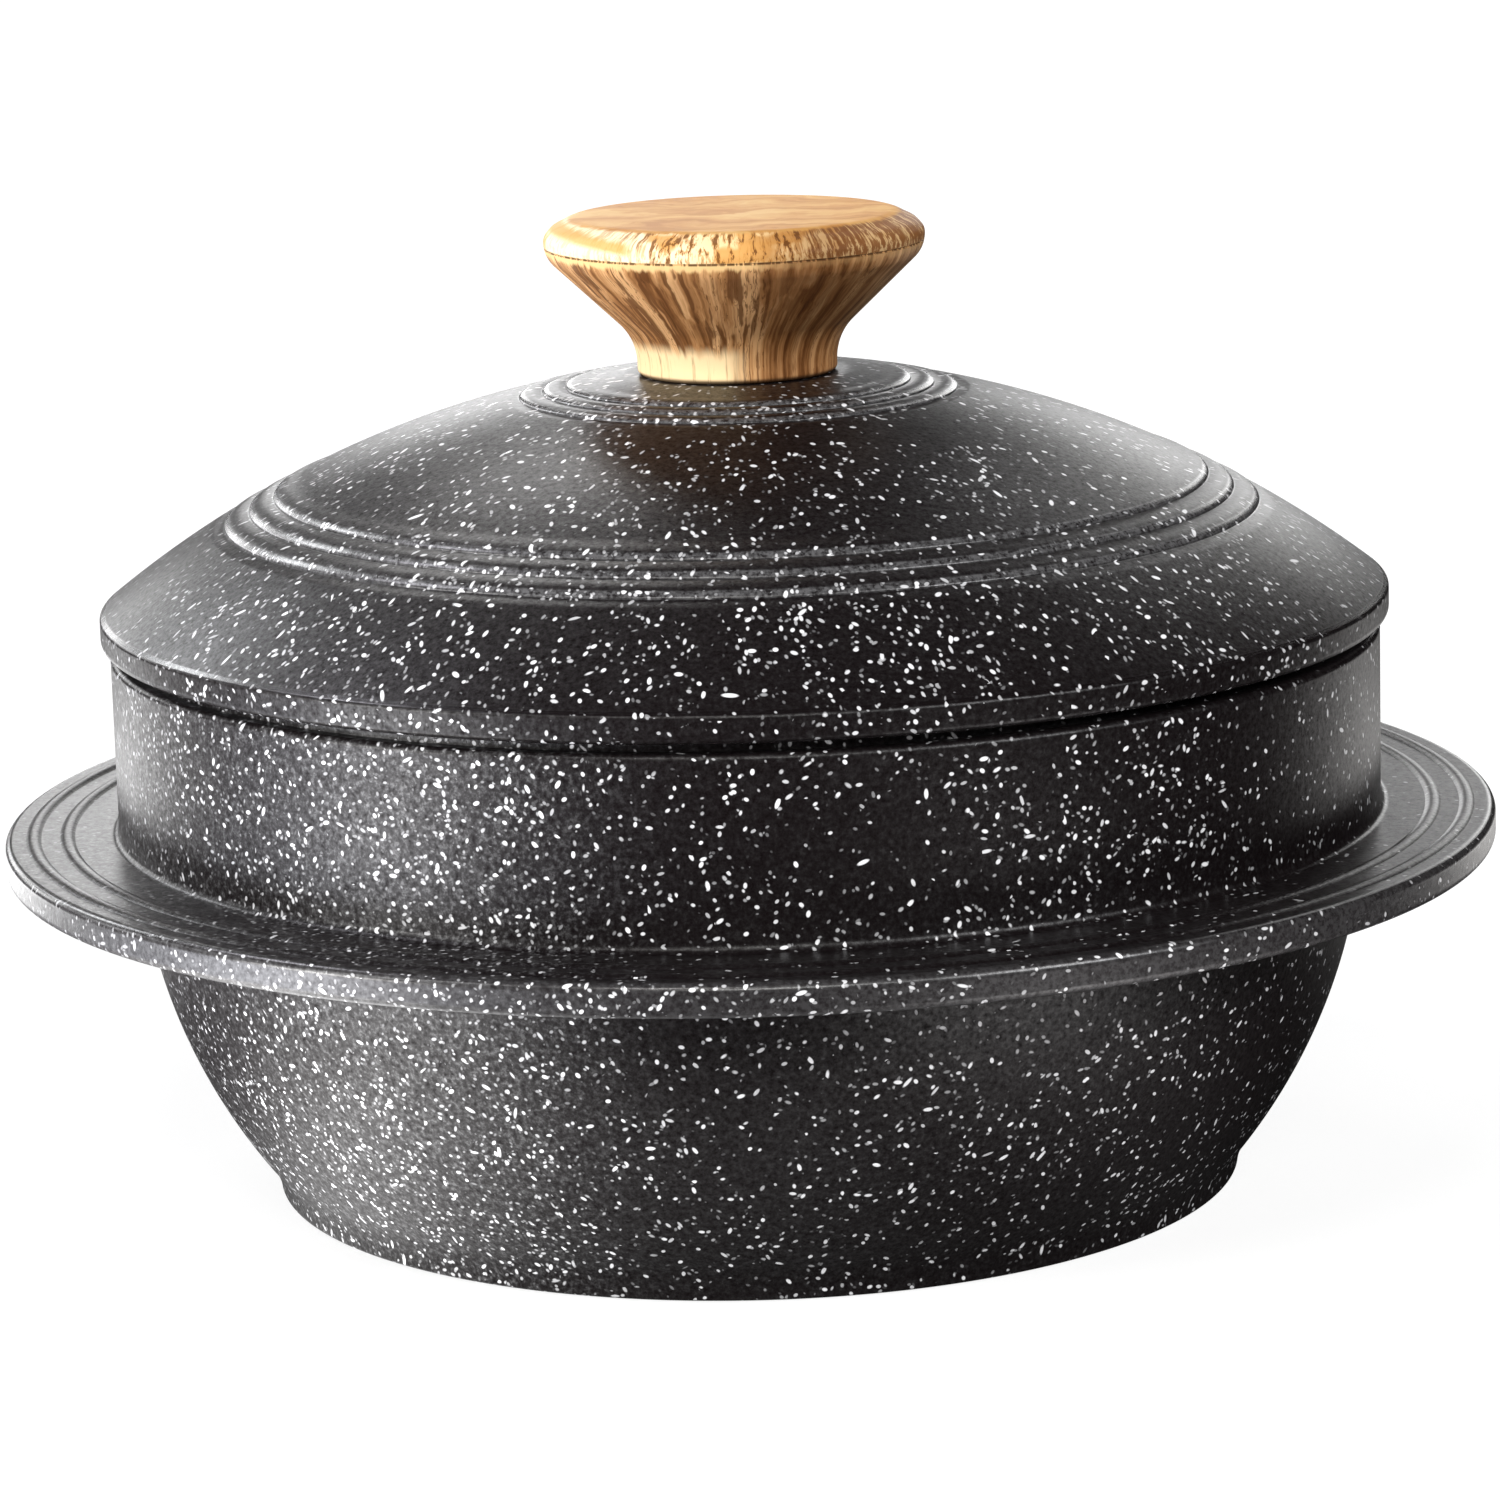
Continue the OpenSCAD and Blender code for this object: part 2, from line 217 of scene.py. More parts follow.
def rim():
    a = (knob_r - 1.9 + 1.9 * math.cos(rad(46)), swell_z + 0.1 + 1.9 * math.sin(rad(46)))
    b = (top_r + 2.6, knob_top - 0.95)
    out = []
    for i in range(1, 11):
        t = i / 10
        m = 0.16 * math.sin(math.pi * t)
        out.append((a[0] + (b[0] - a[0]) * t + m, a[1] + (b[1] - a[1]) * t + m))
    c, e = (top_r + 1.3, knob_top), (top_r - 0.4, knob_top)
    for i in range(1, 9):
        t = i / 8
        out.append(tuple(b[k] * (1 - t) ** 2 + c[k] * 2 * t * (1 - t) + e[k] * t ** 2 for k in (0, 1)))
    return out


knob_outline = (
    [(0, seat_z + insert_len + 0.6), (insert_r, seat_z + insert_len + 0.6), (insert_r, seat_z)]
    + arc(waist_r - 1, seat_z + 1, 1, -90, 0, 6)
    + arc(waist_r + neck, neck_z, neck, 180, 180 - flare, 20)
    + arc(knob_r - swell, swell_z, swell, -flare, seam_a - 1.6, 14)
    + [(seam_r - 0.18, seam_z)]
    + arc(knob_r - swell, swell_z, swell, seam_a + 1.6, 0, 4)
    + arc(knob_r - 1.9, swell_z + 0.1, 1.9, 6, 46, 8)
    + rim()
    + [(12.0, knob_top), (0, knob_top)]
)


# ---------------------------------------------------------------- turned meshes
def hold(points, gap=0.12, ratio=2.5):
    """Adds a point close to each end of a long flat run, so smooth shading doesn't bend the flat."""
    out = []
    n = len(points)
    pts = [p for i, p in enumerate(points) if i == 0 or math.dist(p, points[i - 1]) > 1e-4]
    for i, p in enumerate(pts):
        out.append(p)
        if i + 1 == len(pts):
            break
        q = pts[i + 1]
        l = math.dist(p, q)
        prev = math.dist(pts[i - 1], p) if i else l
        nxt = math.dist(q, pts[i + 2]) if i + 2 < len(pts) else l
        g = min(gap, l / 4)
        if l > ratio * prev or (i == 0 and l > 1):
            out.append((p[0] + (q[0] - p[0]) * g / l, p[1] + (q[1] - p[1]) * g / l))
        if l > ratio * nxt:
            out.append((q[0] - (q[0] - p[0]) * g / l, q[1] - (q[1] - p[1]) * g / l))
    return out


def turned(name, outline, seg, closed=False, sharp=32):
    """A closed mesh turned about Z. Points on the axis become one vertex with a fan of triangles."""
    pts = hold(outline)
    verts, rows = [], []
    for r, z in pts:
        if r < 1e-6:
            rows.append([len(verts)])
            verts.append((0.0, 0.0, z * MM))
        else:
            rows.append(list(range(len(verts), len(verts) + seg)))
            verts += [(r * MM * math.cos(2 * math.pi * k / seg), r * MM * math.sin(2 * math.pi * k / seg), z * MM)
                      for k in range(seg)]
    faces = []
    pairs = list(zip(rows, rows[1:])) + ([(rows[-1], rows[0])] if closed else [])
    for a, b in pairs:
        for k in range(seg):
            m = (k + 1) % seg
            if len(a) == 1 and len(b) == 1:
                continue
            if len(a) == 1:
                faces.append((a[0], b[m], b[k]))
            elif len(b) == 1:
                faces.append((a[k], a[m], b[0]))
            else:
                faces.append((a[k], a[m], b[m], b[k]))
    me = bpy.data.meshes.new(name)
    me.from_pydata(verts, [], faces)
    me.update()
    me.polygons.foreach_set("use_smooth", [True] * len(me.polygons))
    me.set_sharp_from_angle(angle=math.radians(sharp))
    o = bpy.data.objects.new(name, me)
    scene.collection.objects.link(o)
    return o


pot = turned("pot_casting", pot_outline, 320)
lid = turned("lid_casting", lid_outline, 320, closed=True)
knob = turned("knob_moulding", knob_outline, 256)
for piece, node, slot in ((pot, "pot_body", "pot_coating"), (lid, "lid", "lid_coating"), (knob, "knob", "knob_wood_look")):
    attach(piece, "root")
    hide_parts(node)


# ---------------------------------------------------------------- node helpers
class Graph:
    def __init__(self, name):
        self.mat = bpy.data.materials.new(name)
        self.mat.use_nodes = True
        self.t = self.mat.node_tree
        self.t.nodes.clear()
        self.out = self.node("ShaderNodeOutputMaterial")
        self.bsdf = self.node("ShaderNodeBsdfPrincipled")
        self.t.links.new(self.bsdf.outputs[0], self.out.inputs["Surface"])

    def node(self, kind, **props):
        n = self.t.nodes.new(kind)
        for k, v in props.items():
            setattr(n, k, v)
        return n

    def put(self, socket, value):
        if value is None:
            return
        if isinstance(value, bpy.types.NodeSocket):
            self.t.links.new(value, socket)
        elif isinstance(value, (tuple, list)) and socket.type == "RGBA" and len(value) == 3:
            socket.default_value = (*value, 1.0)
        else:
            socket.default_value = value

    def math(self, op, a, b=None, c=None, clamp=False):
        n = self.node("ShaderNodeMath", operation=op, use_clamp=clamp)
        for i, v in enumerate((a, b, c)):
            if v is not None:
                self.put(n.inputs[i], v)
        return n.outputs[0]

    def vec(self, op, a, b=None, scale=None):
        n = self.node("ShaderNodeVectorMath", operation=op)
        self.put(n.inputs[0], a)
        if b is not None:
            self.put(n.inputs[1], b)
        if scale is not None:
            self.put(n.inputs["Scale"], scale)
        return n.outputs["Value"] if op in ("DOT_PRODUCT", "LENGTH", "DISTANCE") else n.outputs["Vector"]

    def step(self, value, lo, hi, a=0.0, b=1.0):
        n = self.node("ShaderNodeMapRange", interpolation_type="SMOOTHSTEP")
        self.put(n.inputs["Value"], value)
        for k, v in (("From Min", lo), ("From Max", hi), ("To Min", a), ("To Max", b)):
            self.put(n.inputs[k], v)
        return n.outputs["Result"]

    def line(self, value, lo, hi, a=0.0, b=1.0):
        n = self.node("ShaderNodeMapRange", interpolation_type="LINEAR")
        n.clamp = True
        self.put(n.inputs["Value"], value)
        for k, v in (("From Min", lo), ("From Max", hi), ("To Min", a), ("To Max", b)):
            self.put(n.inputs[k], v)
        return n.outputs["Result"]

    def noise(self, vector, scale, detail=2.0, rough=0.5, distortion=0.0, lac=2.0, colour=False):
        n = self.node("ShaderNodeTexNoise", noise_dimensions="3D")
        self.put(n.inputs["Vector"], vector)
        n.inputs["Scale"].default_value = scale
        n.inputs["Detail"].default_value = detail
        n.inputs["Roughness"].default_value = rough
        n.inputs["Lacunarity"].default_value = lac
        n.inputs["Distortion"].default_value = distortion
        return n.outputs["Color"] if colour else n.outputs["Fac"]

    def mix(self, fac, a, b, blend="MIX"):
        n = self.node("ShaderNodeMix", data_type="RGBA", blend_type=blend)
        self.put(n.inputs[0], fac)
        self.put(n.inputs[6], a)
        self.put(n.inputs[7], b)
        return n.outputs[2]

    def ramp(self, fac, stops, mode="LINEAR"):
        n = self.node("ShaderNodeValToRGB")
        n.color_ramp.interpolation = mode
        els = n.color_ramp.elements
        while len(els) > 1:
            els.remove(els[-1])
        els[0].position, els[0].color = stops[0][0], (*stops[0][1], 1.0)
        for p, c in stops[1:]:
            e = els.new(p)
            e.color = (*c, 1.0)
        self.put(n.inputs["Fac"], fac)
        return n.outputs["Color"]

    def position(self, shift=(0, 0, 0)):
        """Object coordinates in millimetres, shifted."""
        tc = self.node("ShaderNodeTexCoord")
        return self.vec("ADD", self.vec("SCALE", tc.outputs["Object"], scale=1000.0), shift)


# ---------------------------------------------------------------- stone-look coating
def grains(g, p, n, out, cell, long, short, keep, shift, soft=0.25):
    """Scattered flakes: one in some of the cells of a 3-D cell pattern, each a sliver that lies along the
    surface in a direction of its own, in mm. Returns the flake mask and a random number for each flake."""
    v = g.vec("SCALE", g.vec("ADD", p, shift), scale=1.0 / cell)
    vor = g.node("ShaderNodeTexVoronoi", voronoi_dimensions="3D", feature="F1", distance="EUCLIDEAN")
    g.put(vor.inputs["Vector"], v)
    vor.inputs["Scale"].default_value = 1.0
    vor.inputs["Randomness"].default_value = 0.9
    d = g.vec("SUBTRACT", v, vor.outputs["Position"])
    if out is not None:
        d = g.vec("SUBTRACT", d, g.vec("SCALE", out, scale=g.math("MULTIPLY", g.vec("DOT_PRODUCT", d, out), 0.34)))
    white = g.node("ShaderNodeTexWhiteNoise", noise_dimensions="3D")
    g.put(white.inputs["Vector"], vor.outputs["Position"])
    sep = g.node("ShaderNodeSeparateColor")
    g.put(sep.inputs[0], white.outputs["Color"])
    u = g.vec("NORMALIZE", g.vec("CROSS_PRODUCT", n, g.vec("SUBTRACT", vor.outputs["Color"], (0.5, 0.5, 0.5))))
    a = g.vec("DOT_PRODUCT", d, u)
    h = g.vec("DOT_PRODUCT", d, n)
    # squared distance, with the parts along the flake and through the surface shortened
    flat = g.line(sep.outputs[1], 0.0, 1.0, 0.3, 1 - (short / long) ** 2)
    r2 = g.math("SUBTRACT", g.vec("DOT_PRODUCT", d, d),
                g.math("ADD", g.math("MULTIPLY", g.math("MULTIPLY", a, a), flat), g.math("MULTIPLY", g.math("MULTIPLY", h, h), 0.75)))
    size = g.line(sep.outputs[0], 0.0, 1.0, 0.65 * short / cell, short / cell)
    r = g.math("DIVIDE", g.math("SQRT", r2), size)
    shape = g.step(r, 1.0 - soft, 1.0 + soft, 1.0, 0.0)
    return g.math("MULTIPLY", shape, g.math("LESS_THAN", sep.outputs[2], keep)), white.outputs["Value"]


def coating(name, seed, amount, shine, spun=False):
    """Near-black coat with white flakes. On a spun lid the spray drew the flakes a little outwards. Pale dust and more,
    brighter flakes on the left paint a highlight; darker flakes at the far left and right paint shade.
    """
    g = Graph(name)
    p = g.position()
    mul = lambda a, b: g.math("MULTIPLY", a, b)
    out = g.vec("NORMALIZE", g.vec("MULTIPLY", p, (1.0, 1.0, 0.0))) if spun else None
    n = g.node("ShaderNodeNewGeometry").outputs["Normal"]
    sep = g.node("ShaderNodeSeparateXYZ")
    g.put(sep.inputs[0], p)
    x, y, z = sep.outputs
    r = g.vec("LENGTH", g.vec("MULTIPLY", p, (1.0, 1.0, 0.0)))
    # density drifts over the surface, thins out to the right and is highest on the left in front; on the pot that
    # left-front patch also gets pale dust and brighter fine flakes, a painted highlight
    drift = g.noise(p, 0.055, 3, 0.62)
    busy_and_highlight = mul(g.step(x, -12.0, -38.0), g.step(y, 10.0, -25.0))
    if spun:
        # flakes gather on the crests of the turned rings; towards the left the crests get more and brighter flakes and
        # pale dust, which paint a highlight
        ring = None
        for s0, pitch in ((top_step_r, top_pitch), (side_step_r, side_pitch)):
            for k in range(step_count):
                crest = g.step(g.math("ABSOLUTE", g.math("SUBTRACT", r, s0 + (k - 0.14) * pitch)), 0.8, 0.25)
                ring = crest if ring is None else g.math("MAXIMUM", ring, crest)
        crowd_and_highlight = mul(ring, g.step(x, 45.0, -20.0))
        edge = ring
        bright = g.math("MAXIMUM", ring, g.step(g.math("ABSOLUTE", g.math("SUBTRACT", r, lid_r - 0.55)), 0.5, 0.25))
    else:
        # and on the brim's outer edge; towards the left that edge gets more and brighter flakes and pale dust, which
        # paint a highlight
        edge = mul(g.step(r, brim_r - 1.6, brim_r - 0.5), g.step(z, brim_z - 0.2, brim_z + 0.6))
        crowd_and_highlight = mul(edge, g.step(x, 30.0, -30.0))
        bright = edge
        # a thicker cloud of flakes on the wall, on the right in front
        cloud = mul(g.step(g.math("ABSOLUTE", g.math("SUBTRACT", x, 52.0)), 30.0, 14.0),
                    mul(g.step(y, 0.0, -30.0), g.step(g.math("ABSOLUTE", g.math("SUBTRACT", z, 76.0)), 15.0, 8.0)))
        drift = g.math("ADD", drift, mul(cloud, 0.22))
    drift = g.math("ADD", drift, g.math("ADD", g.line(x, 0.0, 120.0, 0.0, -0.07),
                                         g.math("ADD", mul(busy_and_highlight, 0.05), mul(crowd_and_highlight, 0.14))))
    # more and brighter fine flakes and lifted pale dust where the flakes gather on the left: partly denser flakes,
    # partly a painted highlight
    thick_and_highlight = g.math("MAXIMUM", mul(busy_and_highlight, 0.0 if spun else 1.0), crowd_and_highlight)
    s = seed * 37.0
    # level faces, such as the brim's, hold fewer flakes; so do the far left and right, where the flakes are also
    # darkened as painted shade
    nz = g.node("ShaderNodeSeparateXYZ")
    g.put(nz.inputs[0], n)
    level = g.step(nz.outputs["Z"], 0.75, 0.97)
    side_fade_and_shade = mul(g.step(x, -104.0, -62.0), g.step(x, 96.0, 60.0, 0.35, 1.0))
    share = mul(g.line(level, 0.0, 1.0, 1.0, 0.70 if spun else 0.30), g.line(side_fade_and_shade, 0.0, 1.0, 0.7, 1.0))
    flake_tone_and_shade = mul(g.line(level, 0.0, 1.0, shine, (0.85 if spun else 0.6) * shine), g.line(side_fade_and_shade, 0.0, 1.0, 0.35, 1.0))
    keep = lambda a, b: mul(g.line(drift, 0.30, 0.70, a * amount, b * amount), share)
    big, rb = grains(g, p, n, out, 2.3, 1.45, 0.34, keep(0.14, 0.62), (s + 3.1, s - 7.7, 11.3))
    mid, rm = grains(g, p, n, out, 1.55, 0.82, 0.33, keep(0.12, 0.56), (s + 21.9, 5.3 - s, -4.1))
    fine, rf = grains(g, p, n, out, 1.10, 0.60, 0.28, g.math("ADD", keep(0.08, 0.34), mul(thick_and_highlight, 0.22)),
                      (s - 13.3, 17.7, s + 8.9), 0.4)
    grit = g.noise(p, 1.15, 2, 0.72)
    # pale dust between the flakes, lifted further where the flakes gather on the left as a painted highlight
    dust_and_highlight = g.step(grit, 0.48, 0.78, 0.0, g.math("ADD", 0.008, mul(thick_and_highlight, 0.06)))
    # the coat is worn a little on the crests of the rings and on the brim's edge, the same all round
    dust_and_highlight = g.math("MAXIMUM", dust_and_highlight, mul(edge, g.line(grit, 0.36, 0.62, 0.01, 0.10 if spun else 0.035)))
    fleck = g.math("MAXIMUM", mul(big, g.line(rb, 0.0, 1.0, 0.50, 1.0)), mul(mid, g.line(rm, 0.0, 1.0, 0.12, 1.0)))
    fleck = g.math("MAXIMUM", fleck, mul(fine, mul(g.math("POWER", rf, 1.7), g.line(thick_and_highlight, 0.0, 1.0, 0.5, 0.8))))
    fleck = mul(fleck, flake_tone_and_shade)
    fleck = g.math("MAXIMUM", fleck, dust_and_highlight)
    g.put(g.bsdf.inputs["Base Color"], g.mix(fleck, (0.0046, 0.0031, 0.0034), (0.86, 0.86, 0.88)))
    # the sprayed coat is a little rough: patches of a few tenths of a millimetre shine more or less
    g.put(g.bsdf.inputs["Specular IOR Level"], g.math("ADD", g.line(grit, 0.28, 0.72, 0.12, 0.88), mul(bright, 0.35)))
    bump = g.node("ShaderNodeBump")
    g.put(bump.inputs["Strength"], g.line(bright, 0.0, 1.0, 1.0, 0.15))
    bump.inputs["Distance"].default_value = 0.000035
    g.put(bump.inputs["Height"], grit)
    g.put(g.bsdf.inputs["Normal"], bump.outputs[0])
    g.put(g.bsdf.inputs["Roughness"], g.line(bright, 0.0, 1.0, 0.38, 0.27))
    g.bsdf.inputs["IOR"].default_value = 1.33
    return g.mat


# ---------------------------------------------------------------- wood-look knob
def wood(name):
    """Printed grain: long swirling bands on the flat top, short flecks on the bevel, streaks down the cone. Also
    painted light: a light sheen band under the parting line, shade darkening the right side and a shadow line at the
    foot.
    """
    g = Graph(name)
    p = g.position((0, 0, -seat_z))
    s = g.node("ShaderNodeSeparateXYZ")
    g.put(s.inputs[0], p)
    x, y, z = s.outputs
    mul = lambda a, b: g.math("MULTIPLY", a, b)
    shake = g.vec("SUBTRACT", g.noise(p, 0.075, 3, 0.55, colour=True), (0.5, 0.5, 0.5))
    # direction round the axis, the same all the way up, gives streaks that fan out with the flare
    flat = g.vec("MULTIPLY", p, (1.0, 1.0, 0.0))
    round_ = g.vec("ADD", g.vec("SCALE", g.vec("NORMALIZE", flat), scale=10.0),
                   g.vec("ADD", g.vec("MULTIPLY", p, (0.0, 0.0, 0.022)), g.vec("SCALE", shake, scale=1.0)))
    broad = g.noise(round_, 0.42, 2, 0.5)
    streak = g.noise(round_, 1.5, 4, 0.62)
    side_v = g.math("ADD", mul(broad, 0.45), mul(streak, 0.55))
    side = g.ramp(side_v, [(0.38, (0.105, 0.038, 0.011)), (0.44, (0.225, 0.095, 0.031)), (0.50, (0.420, 0.205, 0.078)),
                           (0.58, (0.640, 0.365, 0.165))])
    # dark lines that fan out with the flare
    lines = g.noise(round_, 2.6, 1, 0.5)
    side = g.mix(mul(g.step(lines, 0.50, 0.60, 0.0, 0.85), g.step(x, 9.0, 2.0, 0.35, 1.0)), side, (0.125, 0.046, 0.014))
    # thin dark pores that run with the streaks
    thread = g.math("ABSOLUTE", g.math("SUBTRACT", g.noise(round_, 2.3, 3, 0.6), 0.5))
    side = g.mix(mul(g.step(thread, 0.022, 0.004), g.step(broad, 0.44, 0.56, 0.15, 0.8)), side, (0.110, 0.040, 0.012))
    # pale waist on the left and in front
    waist = mul(g.step(g.math("ADD", z, mul(streak, 4.0)), 8.6, 6.2), g.step(x, 2.5, -2.5))
    side = g.mix(mul(waist, g.step(streak, 0.34, 0.46, 0.45, 1.0)), side, (0.90, 0.67, 0.38))
    # painted sheen: a light band just under the parting line, stronger on the left, with an uneven lower edge
    sheen_band_edge = g.math("ADD", z, mul(g.noise(round_, 3.4, 2, 0.6), 2.4))
    side = g.mix(mul(g.step(sheen_band_edge, 21.0, 21.8, 0.0, 0.9), g.step(x, 12.0, -2.0, 0.25, 1.0)), side, (0.74, 0.49, 0.22))
    # bevel: cream with torn brown and orange flecks, browner to the right
    torn = g.noise(g.vec("ADD", round_, g.vec("MULTIPLY", p, (0.0, 0.0, 0.10))), 3.6, 3, 0.72)
    patch = g.noise(g.vec("ADD", p, g.vec("SCALE", shake, scale=16.0)), 0.10, 1, 0.5)
    cream = g.mix(g.step(x, -14.0, 4.0), (0.80, 0.64, 0.43), (0.76, 0.53, 0.26))
    cream = g.mix(g.step(patch, 0.52, 0.60, 0.0, 0.85), cream, (0.56, 0.27, 0.065))
    left = g.step(x, -24.0, -10.0, 0.25, 1.0)
    bevel = g.mix(mul(g.step(torn, 0.53, 0.49, 0.0, 0.7), left), cream, (0.50, 0.235, 0.060))
    bevel = g.mix(mul(g.step(torn, 0.455, 0.42, 0.0, 0.95), left), bevel, (0.165, 0.064, 0.016))
    bevel = g.mix(mul(g.step(x, 7.0, 16.0), g.step(torn, 0.60, 0.50, 0.35, 0.95)), bevel, (0.215, 0.088, 0.030))
    # one orange stroke that runs down the bevel on the left
    fall = g.math("SUBTRACT", z, g.line(x, -30.0, -17.0, knob_h - 0.4, knob_h - 2.0))
    stroke = mul(g.step(g.math("ABSOLUTE", g.math("ADD", fall, mul(torn, 1.2))), 1.25, 0.35), g.step(x, -15.5, -18.0))
    bevel = g.mix(mul(stroke, 0.85), bevel, (0.60, 0.29, 0.070))
    bevel_on = g.step(z, seam_z - seat_z + 0.05, seam_z - seat_z + 0.3)
    # top: long bands along the width
    q = g.vec("MULTIPLY", g.vec("ADD", p, g.vec("SCALE", shake, scale=26.0)), (0.022, 0.085, 0.0))
    bands = g.math("ADD", mul(g.noise(q, 1.5, 2, 0.5), 0.8), mul(g.noise(q, 8.0, 2, 0.6), 0.2))
    top = g.ramp(bands, [(0.38, (0.380, 0.165, 0.034)), (0.46, (0.460, 0.225, 0.056)), (0.54, (0.520, 0.285, 0.085)),
                         (0.63, (0.570, 0.350, 0.130))])
    top_on = g.step(g.math("ADD", z, mul(g.noise(round_, 3.0, 2, 0.6), 0.5)), knob_h - 0.45 + 0.25, knob_h - 0.1 + 0.25)
    colour = g.mix(bevel_on, side, bevel)
    # painted shade: the knob darkens towards the right
    colour = g.mix(mul(g.step(x, 1.0, 7.0), g.step(x, 14.0, 24.0, 1.0, 0.25)), colour,
                   g.mix(1.0, colour, (0.72, 0.66, 0.62), "MULTIPLY"))
    colour = g.mix(top_on, colour, top)
    # painted shadow: a dark line where the foot meets the lid
    colour = g.mix(g.step(z, 1.0, 0.35, 0.0, 0.85), colour, (0.050, 0.022, 0.010))
    # parting line, broken up
    seam = mul(g.step(g.math("ABSOLUTE", g.math("SUBTRACT", z, seam_z - seat_z)), 0.30, 0.10),
               g.step(g.noise(round_, 4.5, 2, 0.6), 0.42, 0.52))
    colour = g.mix(mul(seam, 0.85), colour, (0.075, 0.030, 0.010))
    g.put(g.bsdf.inputs["Base Color"], colour)
    g.bsdf.inputs["Roughness"].default_value = 0.5
    g.bsdf.inputs["Specular IOR Level"].default_value = 0.08
    return g.mat


def metal(name, colour, rough):
    g = Graph(name)
    p = g.position()
    m = g.node("ShaderNodeVectorMath", operation="MULTIPLY")
    g.put(m.inputs[0], p)
    m.inputs[1].default_value = (1.0, 1.0, 7.0)
    n = g.noise(m.outputs[0], 1.5, 3, 0.6)
    g.put(g.bsdf.inputs["Base Color"], g.mix(n, tuple(c * 0.8 for c in colour), colour))
    g.put(g.bsdf.inputs["Roughness"], g.line(n, 0.3, 0.7, rough - 0.06, rough + 0.08))
    g.bsdf.inputs["Metallic"].default_value = 1.0
    return g.mat


def dress(o, mat):
    o.data.materials.clear()
    o.data.materials.append(mat)


dress(pot, coating("pot_coating", 1, 0.9, 1.0))
dress(lid, coating("lid_coating", 2, 0.92, 0.95, spun=True))
dress(knob, wood("knob_wood_look"))
for node, mat in (("knob_insert", metal("insert_brass", (0.72, 0.52, 0.24), 0.3)),
                  ("knob_screw", metal("screw_steel", (0.6, 0.6, 0.62), 0.28)),
                  ("screw_washer", metal("washer_steel", (0.6, 0.6, 0.62), 0.3))):
    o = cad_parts[node]
    for s in o.material_slots:
        s.material = mat


# ---------------------------------------------------------------- floor
def disc(name, radius, z, seg=96):
    verts = [(0.0, 0.0, z)] + [(radius * math.cos(2 * math.pi * k / seg), radius * math.sin(2 * math.pi * k / seg), z)
                               for k in range(seg)]
    faces = [(0, k + 1, (k + 1) % seg + 1) for k in range(seg)]
    me = bpy.data.meshes.new(name)
    me.from_pydata(verts, [], faces)
    me.update()
    o = bpy.data.objects.new(name, me)
    scene.collection.objects.link(o)
    return o


def glow(g, colour):
    """A plain emission of the given colour, in place of the principled shader."""
    g.t.nodes.remove(g.bsdf)
    e = g.node("ShaderNodeEmission")
    g.put(e.inputs["Color"], colour)
    g.t.links.new(e.outputs[0], g.out.inputs["Surface"])
    g.mat.cycles.emission_sampling = "NONE"
    return g.mat


# The floor that the camera sees: plain white, with a soft and faint shadow under the pot.
floor = disc("floor", 6.0, -0.0002)
g = Graph("floor")
g.bsdf.inputs["Base Color"].default_value = (0.20, 0.20, 0.20, 1.0)
g.bsdf.inputs["Roughness"].default_value = 1.0
g.bsdf.inputs["Specular IOR Level"].default_value = 0.0
g.bsdf.inputs["Emission Color"].default_value = (1.0, 1.0, 1.0, 1.0)
g.bsdf.inputs["Emission Strength"].default_value = 0.84
g.mat.cycles.emission_sampling = "NONE"
dress(floor, g.mat)
floor.visible_diffuse = floor.visible_glossy = floor.visible_shadow = False

# The light that comes up from the table, strong on the left: soft pools, x, y, spread in m and strength.
POOLS = (
    (0.000, -0.120, 0.025, 0.71, (1.00, 1.00, 1.00)),
    (-0.097, -0.071, 0.025, 3.9, (1.00, 1.00, 1.00)),
    (-0.071, -0.097, 0.025, 2.4, (1.00, 1.00, 1.00)),
    (0.129, -0.178, 0.050, 4.3, (1.02, 0.99, 0.99)),
    (-0.178, -0.129, 0.050, 10.4, (1.01, 1.00, 0.99)),
    (0.340, 0.247, 0.100, 2.5, (1.02, 1.00, 0.98)),
    (-0.340, 0.247, 0.100, 6.2, (1.00, 1.00, 1.00)),
    (-0.270, -0.150, 0.040, 6.0, (0.97, 0.98, 1.05)),
    (-0.399, -0.130, 0.100, 6.3, (0.95, 0.98, 1.07)),
    (-0.340, -0.247, 0.100, 6.6, (0.96, 0.97, 1.07)),
)
table = disc("table_glow", 0.8, -0.0005)
g = Graph("table_glow")
p = g.node("ShaderNodeTexCoord").outputs["Object"]
total = None
for x, y, spread, strength, tint in POOLS:
    d = g.vec("DISTANCE", p, (x, y, -0.0005))
    v = g.math("EXPONENT", g.math("MULTIPLY", g.math("MULTIPLY", d, d), -0.5 / spread ** 2))
    c = g.vec("SCALE", tuple(strength * t for t in tint), scale=v)
    total = c if total is None else g.vec("ADD", total, c)
dress(table, glow(g, total))
table.visible_camera = False


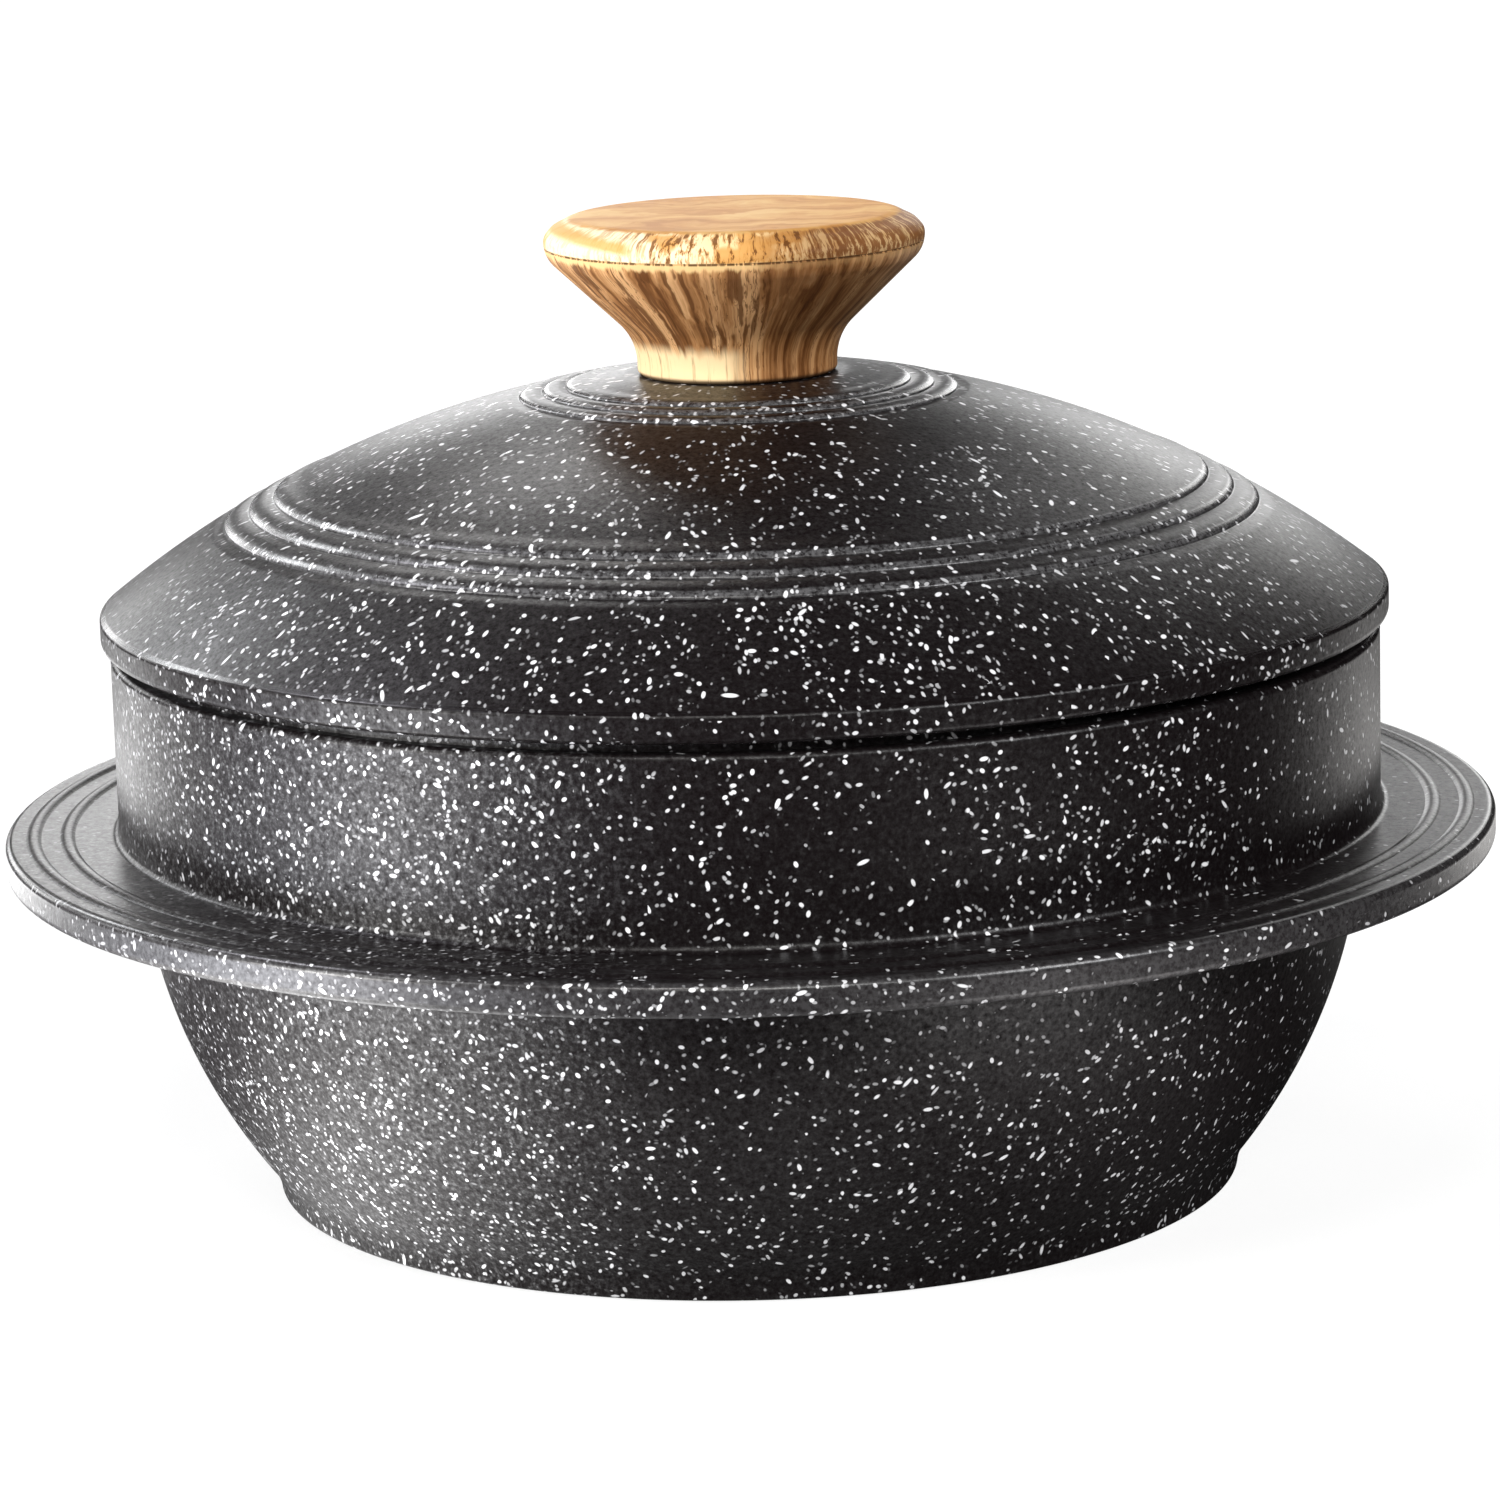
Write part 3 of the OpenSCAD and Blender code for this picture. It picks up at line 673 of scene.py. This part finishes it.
# ---------------------------------------------------------------- light
# Soft lamps all round: bearing from the camera's side (90 is the right), height above the horizon,
# strength and tint.
LAMPS = (
    (290, 0, 33.9, (1.01, 1.00, 0.99)),
    (300, 0, 26.5, (1.02, 1.00, 0.98)),
    (293, 14, 12.0, (1.00, 1.00, 1.00)),
    (300, 27, 12.0, (1.00, 1.00, 1.00)),
    (308, 42, 10.0, (1.00, 1.00, 1.00)),
    (247, 16, 5.0, (0.99, 1.00, 1.02)),
    (268, 22, 3.5, (0.99, 1.00, 1.02)),
    (168, 10, 4.6, (1.00, 1.00, 1.00)),
    (185, 10, 6.8, (1.00, 1.00, 1.00)),
    (206, 10, 6.0, (1.00, 1.00, 1.00)),
    (222, 12, 6.5, (1.00, 1.00, 1.00)),
    (159, 20, 4.0, (1.00, 1.00, 0.98)),
    (0, 30, 14.8, (1.02, 1.01, 0.97)),
    (12, 30, 10.7, (1.00, 1.01, 0.99)),
    (35, 30, 11.7, (0.99, 1.00, 1.01)),
    (46, 30, 13.8, (0.99, 1.00, 1.01)),
    (58, 30, 15.8, (0.98, 1.00, 1.02)),
    (221, 30, 14.2, (0.98, 1.00, 1.02)),
    (51, 40, 13.9, (1.01, 0.99, 1.00)),
    (154, 40, 3.4, (1.00, 1.00, 1.00)),
    (193, 40, 10.7, (1.01, 1.00, 0.99)),
    (250, 50, 15.9, (0.98, 0.97, 1.05)),
    (344, 50, 17.6, (1.03, 1.00, 0.97)),
)
SPREAD = math.sqrt(2 / 150)
for k, (bearing, height, strength, tint) in enumerate(LAMPS):
    a, e = math.radians(bearing), math.radians(height)
    l = bpy.data.lights.new("lamp_%02d" % k, "SUN")
    l.angle = 2 * SPREAD
    l.energy = strength * math.pi * SPREAD ** 2
    l.color = tint
    o = bpy.data.objects.new("lamp_%02d" % k, l)
    o.rotation_mode = "QUATERNION"
    o.rotation_quaternion = Vector((math.cos(e) * math.sin(a), -math.cos(e) * math.cos(a), math.sin(e))).to_track_quat("Z", "Y")
    scene.collection.objects.link(o)

# White all round for the camera alone, so that the floor has no horizon in any view.
world = bpy.data.worlds.new("studio")
scene.world = world
world.use_nodes = True
world.node_tree.nodes["Background"].inputs["Color"].default_value = (1.0, 1.0, 1.0, 1.0)
world.node_tree.nodes["Background"].inputs["Strength"].default_value = 1.0
world.cycles_visibility.diffuse = world.cycles_visibility.glossy = False
world.cycles_visibility.transmission = world.cycles_visibility.scatter = False

# ---------------------------------------------------------------- camera
D, H, PITCH, YAW, ROLL, F = 0.9253, 0.2643, math.radians(11.854), math.radians(0.017), math.radians(-1.597), 5716.5
fwd = Vector((math.sin(YAW) * math.cos(PITCH), math.cos(YAW) * math.cos(PITCH), -math.sin(PITCH)))
right = Vector((math.cos(YAW), -math.sin(YAW), 0.0))
up = right.cross(fwd)
r2 = right * math.cos(ROLL) + up * math.sin(ROLL)
u2 = -right * math.sin(ROLL) + up * math.cos(ROLL)
cam_data = bpy.data.cameras.new("camera")
cam_data.sensor_width = 36.0
cam_data.lens = F / 1500.0 * 36.0
cam_data.clip_start, cam_data.clip_end = 0.05, 50.0
cam = bpy.data.objects.new("camera", cam_data)
scene.collection.objects.link(cam)
cam.matrix_world = Matrix(((r2.x, u2.x, -fwd.x, 0.0), (r2.y, u2.y, -fwd.y, -D), (r2.z, u2.z, -fwd.z, H), (0, 0, 0, 1)))
scene.camera = cam

scene.view_settings.view_transform = "Standard"
scene.view_settings.look = "None"
scene.view_settings.exposure = 0.0
scene.view_settings.gamma = 1.0
